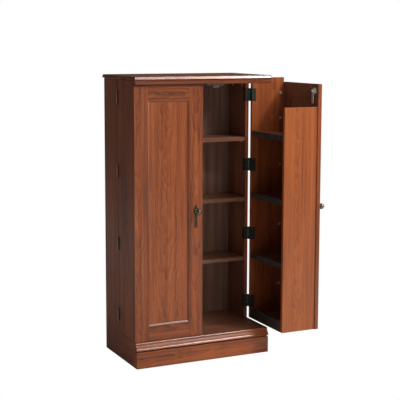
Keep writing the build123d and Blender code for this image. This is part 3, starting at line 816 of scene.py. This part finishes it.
for side in SIDES:
    name = f"door_{side}_back_plate"
    body = f"{side}_door"
    outward = Vector((0, -1, 0)) if side == "left" else Vector((1, 0, 0))
    plate = welded(name)
    for width, depth in ((EDGE, 0.0), (RIM, 0.0), (SLOPE, -FIELD_DEPTH)):
        front = facing(plate, outward)
        bmesh.ops.inset_region(plate, faces=front, thickness=width, depth=depth)
    piece = add_piece(f"back_plate_{side}", plate, body, old_pewter, [name])
    print(piece.name, len(piece.data.polygons), "faces")


# %% [markdown]
# ## Lips, strikes, catches and lock
#
# These parts are right as packed and only too sharp. The lips and the catches are moulded,
# so their edges are round by half a millimetre or more, and a stamped part rolls over at
# its edge by less.

# %% Eased hardware
for side in SIDES:
    eased(f"door_{side}_lips", 0.9 * MM, lip_black)
    eased(f"door_{side}_strike", 0.25 * MM, steel, 10 * MM)
    eased(f"magnetic_catch_{side}", 0.5 * MM, catch_brown, 6 * MM)
    keep(f"door_{side}_leaves", enamel)
    keep(f"carcass_leaves_{side}", enamel)
eased("lock_arm", 0.25 * MM, nickel, 4 * MM)
for name in ("lock_housing", "lock_plug", "shelf_pins"):
    keep(name, nickel)

# %% [markdown]
# ## The catches' pole plates
#
# A magnetic catch holds its magnet between two steel plates, whose edges stand a hair out
# of the housing and meet the strike. They are two thin bars with their arrises taken off.

# %% Pole plates
POLE = Vector((22 * MM, 12 * MM, 1.6 * MM))
POLE_LIFTS = (3.2 * MM, 9.0 * MM)  # above the housing's underside
POLE_PROUD, POLE_ARRIS = 0.25 * MM, 0.3 * MM
for side in SIDES:
    catch_low, catch_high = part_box(f"magnetic_catch_{side}")
    middle = (catch_low.x + catch_high.x) / 2
    poles = bmesh.new()
    for lift in POLE_LIFTS:
        centre = Vector((middle, catch_low.y + POLE.y / 2 - POLE_PROUD, catch_low.z + lift))
        place = Matrix.Translation(centre) @ Matrix.Diagonal(POLE).to_4x4()
        bmesh.ops.create_cube(poles, size=1.0, matrix=place)
    ease(poles, POLE_ARRIS, 1 * MM)
    piece = add_piece(f"catch_poles_{side}", poles, "carcass", steel)
    print(piece.name, len(piece.data.polygons), "faces")

# %% [markdown]
# ## The lock's ring nut
#
# The ring that clamps the lock behind the door is knurled for the fingers: a gear outline
# of many small teeth with the corners taken off front and back.

# %% Knurled ring
ring_low, ring_high = shut_box("lock_ring")
ring_axis = Vector(((ring_low.x + ring_high.x) / 2, ring_low.y, (ring_low.z + ring_high.z) / 2))
ring_radius, ring_depth = (ring_high.x - ring_low.x) / 2, ring_high.y - ring_low.y
flange_low, flange_high = shut_box("lock_housing")
THREAD = 2 * MM  # from the housing's flange in to the barrel that the ring runs on
bore = (flange_high.z - flange_low.z) / 2 - THREAD
TEETH, TOOTH = 40, 0.5 * MM
RING_SLOPE, RING_EDGE = 0.9 * MM, 0.7 * MM  # the corner taken off, inwards and along
MOUTH, MOUTH_DEPTH = 1.2 * MM, 0.8 * MM  # the bore's flared mouth
ring = bmesh.new()
loops = []
for radius, height, tooth in (
    (bore, 0, 0),
    (ring_radius - RING_SLOPE, 0, 0),
    (ring_radius, RING_EDGE, TOOTH),
    (ring_radius, ring_depth - RING_EDGE, TOOTH),
    (ring_radius - RING_SLOPE, ring_depth, 0),
    (bore + MOUTH, ring_depth, 0),
    (bore, ring_depth - MOUTH_DEPTH, 0),
):
    loop = []
    for i in range(2 * TEETH):
        reach = radius - (tooth if i % 2 else 0)
        turn = math.pi * i / TEETH
        loop.append(ring.verts.new((reach * math.cos(turn), height, reach * math.sin(turn))))
    loops.append(loop)
for lower, upper in zip(loops, loops[1:] + loops[:1]):
    bridge(ring, lower, upper)
bmesh.ops.recalc_face_normals(ring, faces=ring.faces)
bmesh.ops.transform(ring, matrix=Matrix.Translation(ring_axis), verts=ring.verts)
true_place(ring, "right_door")
piece = add_piece("lock_ring_nut", ring, "right_door", nickel, ["lock_ring"])
print(piece.name, len(piece.data.polygons), "faces")


# %% [markdown]
# ## Screws, nails, cams and hinge pins
#
# A cabinet like this has dozens of small turned fixings of a few kinds, which is work for
# Geometry Nodes. One tree draws one fixing: a domed head with a cross recess on a round
# shank. It is set on every point of a small mesh, turned to look along the point's own
# direction and rolled at random, because nobody lines up cross recesses. The places are
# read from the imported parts, one point for each loose piece of a part's mesh.


# %% The fixing tree
SIZE_NAMES = ["Head Radius", "Head Height", "Dome", "Shank Radius", "Shank Length"]
SIZE_NAMES += ["Recess Width", "Recess Depth"]
FIXING_INPUTS = {"Geometry": "Geometry"} | dict.fromkeys(SIZE_NAMES, "Float")
FIXING_INPUTS |= {"Arms": "Int", "Seed": "Int", "Finish": "Material"}


def fixing_tree():
    """A Geometry Nodes tree that sets one headed fixing on each point."""
    tree = bpy.data.node_groups.new("headed_fixing", "GeometryNodeTree")
    for name, kind in FIXING_INPUTS.items():
        tree.interface.new_socket(name, in_out="INPUT", socket_type="NodeSocket" + kind)
    tree.interface.new_socket("Geometry", in_out="OUTPUT", socket_type="NodeSocketGeometry")
    sheet = Sheet(tree)
    sockets = tree.nodes.new("NodeGroupInput").outputs
    points, arms, seed, finish = (
        Wire(sheet, sockets[name]) for name in ("Geometry", "Arms", "Seed", "Finish")
    )
    head_radius, head_height, dome, shank_radius, shank_length, width, depth = (
        Wire(sheet, sockets[name]) for name in SIZE_NAMES
    )

    def move(shape, height):
        place = sheet.node("ShaderNodeCombineXYZ", {}, {"Z": height})
        return sheet.node("GeometryNodeTransform", {}, {"Geometry": shape, "Translation": place})

    def cylinder(radius, length, facets):
        size = {"Vertices": facets, "Radius": radius, "Depth": length}
        return sheet.node("GeometryNodeMeshCylinder", {}, size)

    # The head is a cylinder's and a large ball's common part.
    ball = (head_radius * head_radius + dome * dome) / (dome * 2)
    head = move(cylinder(head_radius, head_height, 20), head_height * -0.5)
    round_cap = {"Segments": 20, "Rings": 48, "Radius": ball}
    cap = move(sheet.node("GeometryNodeMeshUVSphere", {}, round_cap), ball * -1)
    joined = {"operation": "INTERSECT", "solver": "EXACT"}
    head = sheet.node("GeometryNodeMeshBoolean", joined, {"Mesh 2": head})
    tree.links.new(cap.socket, head.socket.node.inputs["Mesh 2"])

    # The recess is cut by as many bars as it has arms, each turned a quarter from the last.
    bar = {"X": head_radius * 1.25, "Y": width, "Z": depth * 2}
    bar = sheet.node("ShaderNodeCombineXYZ", {}, bar)
    arm = sheet.node("GeometryNodeMeshCube", {}, {"Size": bar})
    stack = {"Count": arms, "Offset": (0.0, 0.0, 0.0)}
    places = sheet.node("GeometryNodeMeshLine", {}, stack)
    index = sheet.node("GeometryNodeInputIndex")
    turn = sheet.node("ShaderNodeCombineXYZ", {}, {"Z": index * (math.pi / 2)})
    slots = {"Points": places, "Instance": arm, "Rotation": turn}
    slots = sheet.node("GeometryNodeInstanceOnPoints", {}, slots)
    slots = sheet.node("GeometryNodeRealizeInstances", {}, {"Geometry": slots})
    cut = {"operation": "DIFFERENCE", "solver": "EXACT"}
    meshes = {"Mesh 1": head, "Mesh 2": slots, "Self Intersection": True}
    head = sheet.node("GeometryNodeMeshBoolean", cut, meshes)
    shank = cylinder(shank_radius, shank_length, 12)
    shank = move(shank, head_height * -1 - shank_length * 0.5)
    fixing = sheet.node("GeometryNodeJoinGeometry", {}, {"Geometry": shank})
    tree.links.new(head.socket, fixing.socket.node.inputs["Geometry"])

    # Each copy is rolled about its own axis and then aimed along its point's direction.
    vector, number = {"data_type": "FLOAT_VECTOR"}, {"data_type": "FLOAT"}
    way = sheet.node("GeometryNodeInputNamedAttribute", vector, {"Name": "facing"})
    draw = {2: 0.0, 3: math.pi, "Seed": seed}
    roll = sheet.node("FunctionNodeRandomValue", number, draw, out=1)
    aim = sheet.node("FunctionNodeAlignRotationToVector", {"axis": "Z"}, {"Vector": way})
    spin = {"Axis": (0.0, 0.0, 1.0), "Angle": roll}
    spin = sheet.node("FunctionNodeAxisAngleToRotation", {}, spin)
    local, both = {"rotation_space": "LOCAL"}, {"Rotation": aim, "Rotate By": spin}
    aim = sheet.node("FunctionNodeRotateRotation", local, both)
    many = {"Points": points, "Instance": fixing, "Rotation": aim}
    many = sheet.node("GeometryNodeInstanceOnPoints", {}, many)
    many = sheet.node("GeometryNodeRealizeInstances", {}, {"Geometry": many})
    many = sheet.node("GeometryNodeSetMaterial", {}, {"Geometry": many, "Material": finish})
    sheet.close("NodeGroupOutput", many)
    return tree


FIXING = fixing_tree()
print(len(FIXING.nodes), "nodes in the fixing tree")


# %% Reading the loose pieces of a part
def loose_pieces(name):
    """The corner lists of a part's separate pieces."""
    shape = welded(name)
    seen, found = set(), []
    for first in shape.verts:
        queue, piece = [first], []
        while queue:
            vert = queue.pop()
            if vert in seen:
                continue
            seen.add(vert)
            piece.append(vert.co.copy())
            queue += [edge.other_vert(vert) for edge in vert.link_edges]
        if piece:
            found.append(piece)
    shape.free()
    return found


def extent(corners):
    """The lowest and highest corners of a box round some points."""
    return (Vector(pick(c[a] for c in corners) for a in range(3)) for pick in (min, max))


def along(axis, way):
    """A direction of length 1 along an axis, forwards or backwards."""
    return Vector(way if a == axis else 0 for a in range(3))


def headed(corners):
    """The top of a fixing's head, the way it looks, and its head and shank sizes."""
    low, high = extent(corners)
    size, middle = high - low, (low + high) / 2
    axis = max(range(3), key=lambda a: size[a])
    sides = [a for a in range(3) if a != axis]
    away = [math.hypot(*(c[a] - middle[a] for a in sides)) for c in corners]
    wide = [c[axis] for c, r in zip(corners, away) if r > 0.8 * max(away)]
    outward = 1 if high[axis] - max(wide) < min(wide) - low[axis] else -1
    top = middle.copy()
    top[axis] = max(wide) if outward > 0 else min(wide)
    return top, along(axis, outward), max(away), max(wide) - min(wide), size[axis], min(away)


print("the back and the carcass have", len(loose_pieces("carcass_screws")), "screws and nails")


# %% Setting the fixings
def fixings(name, groups, body, stands_for):
    """Sets fixings on groups of points and joins them into one piece."""
    whole = bmesh.new()
    for seed, (tops, sizes) in enumerate(groups):
        mesh = bpy.data.meshes.new("points")
        mesh.from_pydata([top for top, _ in tops], [], [])
        way = mesh.attributes.new("facing", "FLOAT_VECTOR", "POINT")
        for item, (_, outward) in zip(way.data, tops):
            item.vector = outward
        holder = bpy.data.objects.new("points", mesh)
        bpy.context.scene.collection.objects.link(holder)
        modifier = holder.modifiers.new("fixings", "NODES")
        modifier.node_group = FIXING
        values = dict(sizes, Seed=seed)
        for item in FIXING.interface.items_tree:
            if item.in_out == "INPUT" and item.name in values:
                modifier[item.identifier] = values[item.name]
        made = settled(holder)
        whole.from_mesh(made)
        bpy.data.objects.remove(holder)
        bpy.data.meshes.remove(made)
    finish = groups[0][1]["Finish"]
    piece = add_piece(name, whole, body, finish, stands_for)
    print(f"  {name}: {sum(len(g[0]) for g in groups)} fixings, {len(piece.data.polygons)} faces")


def fixing_sizes(finish, arms, *sizes):
    """The tree's inputs by name, from sizes in millimetres in the order of SIZE_NAMES."""
    return dict(zip(SIZE_NAMES, (size * MM for size in sizes)), Arms=arms, Finish=finish)


CARRIERS = {"carcass": "carcass", "door_left": "left_door", "door_right": "right_door"}
print("fixings go on", ", ".join(CARRIERS.values()))


# %% Screws and nails
LEAST_SCREW = 2.5  # a head with a smaller radius, in millimetres, is a nail's


def screw_groups(name):
    """A part's fixings, grouped by their sizes, with inputs for the tree."""
    kinds = {}
    for corners in loose_pieces(name):
        top, way, head, height, length, shank = headed(corners)
        key = tuple(round(v / MM, 1) for v in (head, height, length, shank))
        kinds.setdefault(key, []).append((top, way))
    groups = []
    for (head, height, length, shank), tops in sorted(kinds.items()):
        arms = 0 if head < LEAST_SCREW else 2
        recess, depth = 0.28 * head, 0.7 * height
        sizes = (head, height, 0.35 * height, shank, length - height, recess, depth)
        groups.append((tops, fixing_sizes(blackened, arms, *sizes)))
    return groups


for part, body in CARRIERS.items():
    name = part + "_screws"
    fixings(name + "_driven", screw_groups(name), body, [name])

# %% [markdown]
# ## Cams
#
# A cam lock is a short zinc drum let into a board, and only its cross-slotted face shows.
# The same tree makes it, with a wide flat head and hardly any shank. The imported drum's
# slotted end has more corners than its plain one, and that tells which way it looks.

# %% Cams
CAM = (6.0, 8.0, 0.3, 5.0, 1.0, 1.5, 1.8)


def cam_top(corners):
    """The middle of a cam's slotted face, and the way it looks."""
    low, high = extent(corners)
    size, top = high - low, (low + high) / 2
    axis = min(range(3), key=lambda a: size[a])
    lower, upper = (
        sum(abs(c[axis] - limit[axis]) < 0.01 * MM for c in corners) for limit in (low, high)
    )
    outward = 1 if upper > lower else -1
    top[axis] = high[axis] if outward > 0 else low[axis]
    return top, along(axis, outward)


for part, body in CARRIERS.items():
    name = part + "_cams"
    tops = [cam_top(corners) for corners in loose_pieces(name)]
    fixings(name + "_set", [(tops, fixing_sizes(zinc, 2, *CAM))], body, [name])

# %% [markdown]
# ## Hinge pins
#
# A hinge pin has a domed tip at each end. To the tree it is two fixings without a recess,
# back to back, whose shanks meet in the middle.

# %% Hinge pins
TIP_RADIUS, TIP_HEIGHT, TIP_DOME, PIN_RADIUS = 2.3, 1.4, 1.2, 1.6
tops = []
for corners in loose_pieces("hinge_pins"):
    low, high = extent(corners)
    middle = (low + high) / 2
    for end, way in ((low.z, -1), (high.z, 1)):
        tops.append((Vector((middle.x, middle.y, end)), along(Z, way)))
half_pin = (high.z - low.z) / 2 / MM
sizes = (TIP_RADIUS, TIP_HEIGHT, TIP_DOME, PIN_RADIUS, half_pin - TIP_HEIGHT, 0.9, 0.7)
fixings("hinge_pins_tipped", [(tops, fixing_sizes(enamel, 0, *sizes))], "carcass", ["hinge_pins"])

# %% [markdown]
# ## Light
#
# A small warm key stands high on the right and in front, and gives the cabinet its shaded
# left side and the shadows inside it. Beside it hangs a long strip, which the top's and
# the base's mouldings mirror as bright lines. A soft overhead and a front fill open the
# shadows. A tall narrow strip on each side draws the upright edges, and two cool cards
# light the cabinet's left side and its back, so that it also reads from behind. The world
# adds a weak even light, but shows as white behind the cabinet.

# %% Film and world
scene = bpy.context.scene
scene.view_settings.view_transform = "Standard"
WHITE = (1.0, 1.0, 1.0, 1.0)

world = bpy.data.worlds.new("Studio")
world.use_nodes = True
scene.world = world
world.node_tree.nodes.clear()
sky = Sheet(world.node_tree)
seen = sky.node("ShaderNodeLightPath", out="Is Camera Ray")
weak = {"Color": (0.95, 0.97, 1.0, 1.0), "Strength": 0.07}
weak = sky.node("ShaderNodeBackground", {}, weak)
white = sky.node("ShaderNodeBackground", {}, {"Color": WHITE, "Strength": 1.0})
shown = sky.node("ShaderNodeMixShader", {}, {0: seen, 1: weak, 2: white})
sky.close("ShaderNodeOutputWorld", shown)
print("world:", world.name)


# %% Lights
def soft_box(name, place, aim, size, watts, colour):
    """An area light, width by height, that looks at a point."""
    light = bpy.data.lights.new(name, "AREA")
    light.shape = "RECTANGLE"
    light.size, light.size_y = size
    light.energy, light.color = watts, colour
    lamp = bpy.data.objects.new(name, light)
    lamp.location = place
    lamp.rotation_euler = (Vector(aim) - Vector(place)).to_track_quat("-Z", "Y").to_euler()
    scene.collection.objects.link(lamp)


WARM, COOL = (1.0, 0.96, 0.90), (0.95, 0.98, 1.0)
soft_box("Key", (1.65, -2.0, 2.75), (0.1, -0.1, 0.6), (0.45, 0.45), 42, WARM)
soft_box("Ridge strip", (1.0, -1.97, 2.75), (1.0, -0.1, 0.6), (1.1, 0.3), 20, WARM)
soft_box("Overhead", (0.9, -1.3, 3.0), (0.1, -0.1, 0.6), (1.5, 1.5), 10, WARM)
soft_box("Right strip", (2.75, -1.25, 0.7), (0.0, -0.1, 0.6), (0.15, 2.2), 28, WARM)
soft_box("Front fill", (0.1, -4.6, 1.0), (0.0, -0.1, 0.5), (2.0, 2.0), 19, WARM)
soft_box("Left card", (-3.4, -1.2, 1.3), (0.0, 0.0, 0.6), (2.2, 2.2), 4, COOL)
soft_box("Back card", (0.9, 4.2, 0.55), (0.0, 0.1, 0.55), (2.4, 0.9), 20, COOL)
soft_box("Left strip", (-2.6, -0.9, 0.9), (0.0, 0.0, 0.6), (0.15, 1.8), 1.5, COOL)
print(len(bpy.data.lights), "lights,", sum(light.energy for light in bpy.data.lights), "W")

# %% [markdown]
# ## The floor
#
# The floor is stage, not part of the cabinet. It throws light back up under the cabinet
# like pale lino, but shows as plain white, so that it runs into the background.

# %% Floor
FLOOR_REACH = 6
floor_mesh = bpy.data.meshes.new("floor")
corners = [(x * FLOOR_REACH, y * FLOOR_REACH, 0) for x, y in ((-1, -1), (1, -1), (1, 1), (-1, 1))]
floor_mesh.from_pydata(corners, [], [(0, 1, 2, 3)])
floor = bpy.data.objects.new("floor", floor_mesh)
scene.collection.objects.link(floor)
pale = Finish("pale_floor")
lino = pale.node("ShaderNodeBsdfDiffuse", {}, {"Color": (0.85, 0.85, 0.85, 1.0)})
glow = pale.node("ShaderNodeEmission", {}, {"Color": WHITE, "Strength": 1.0})
seen = pale.node("ShaderNodeLightPath", out="Is Camera Ray")
shown = pale.node("ShaderNodeMixShader", {}, {0: seen, 1: lino, 2: glow})
pale.close("ShaderNodeOutputMaterial", shown)
floor_mesh.materials.append(pale.material)
print("floor:", 2 * FLOOR_REACH, "m square")
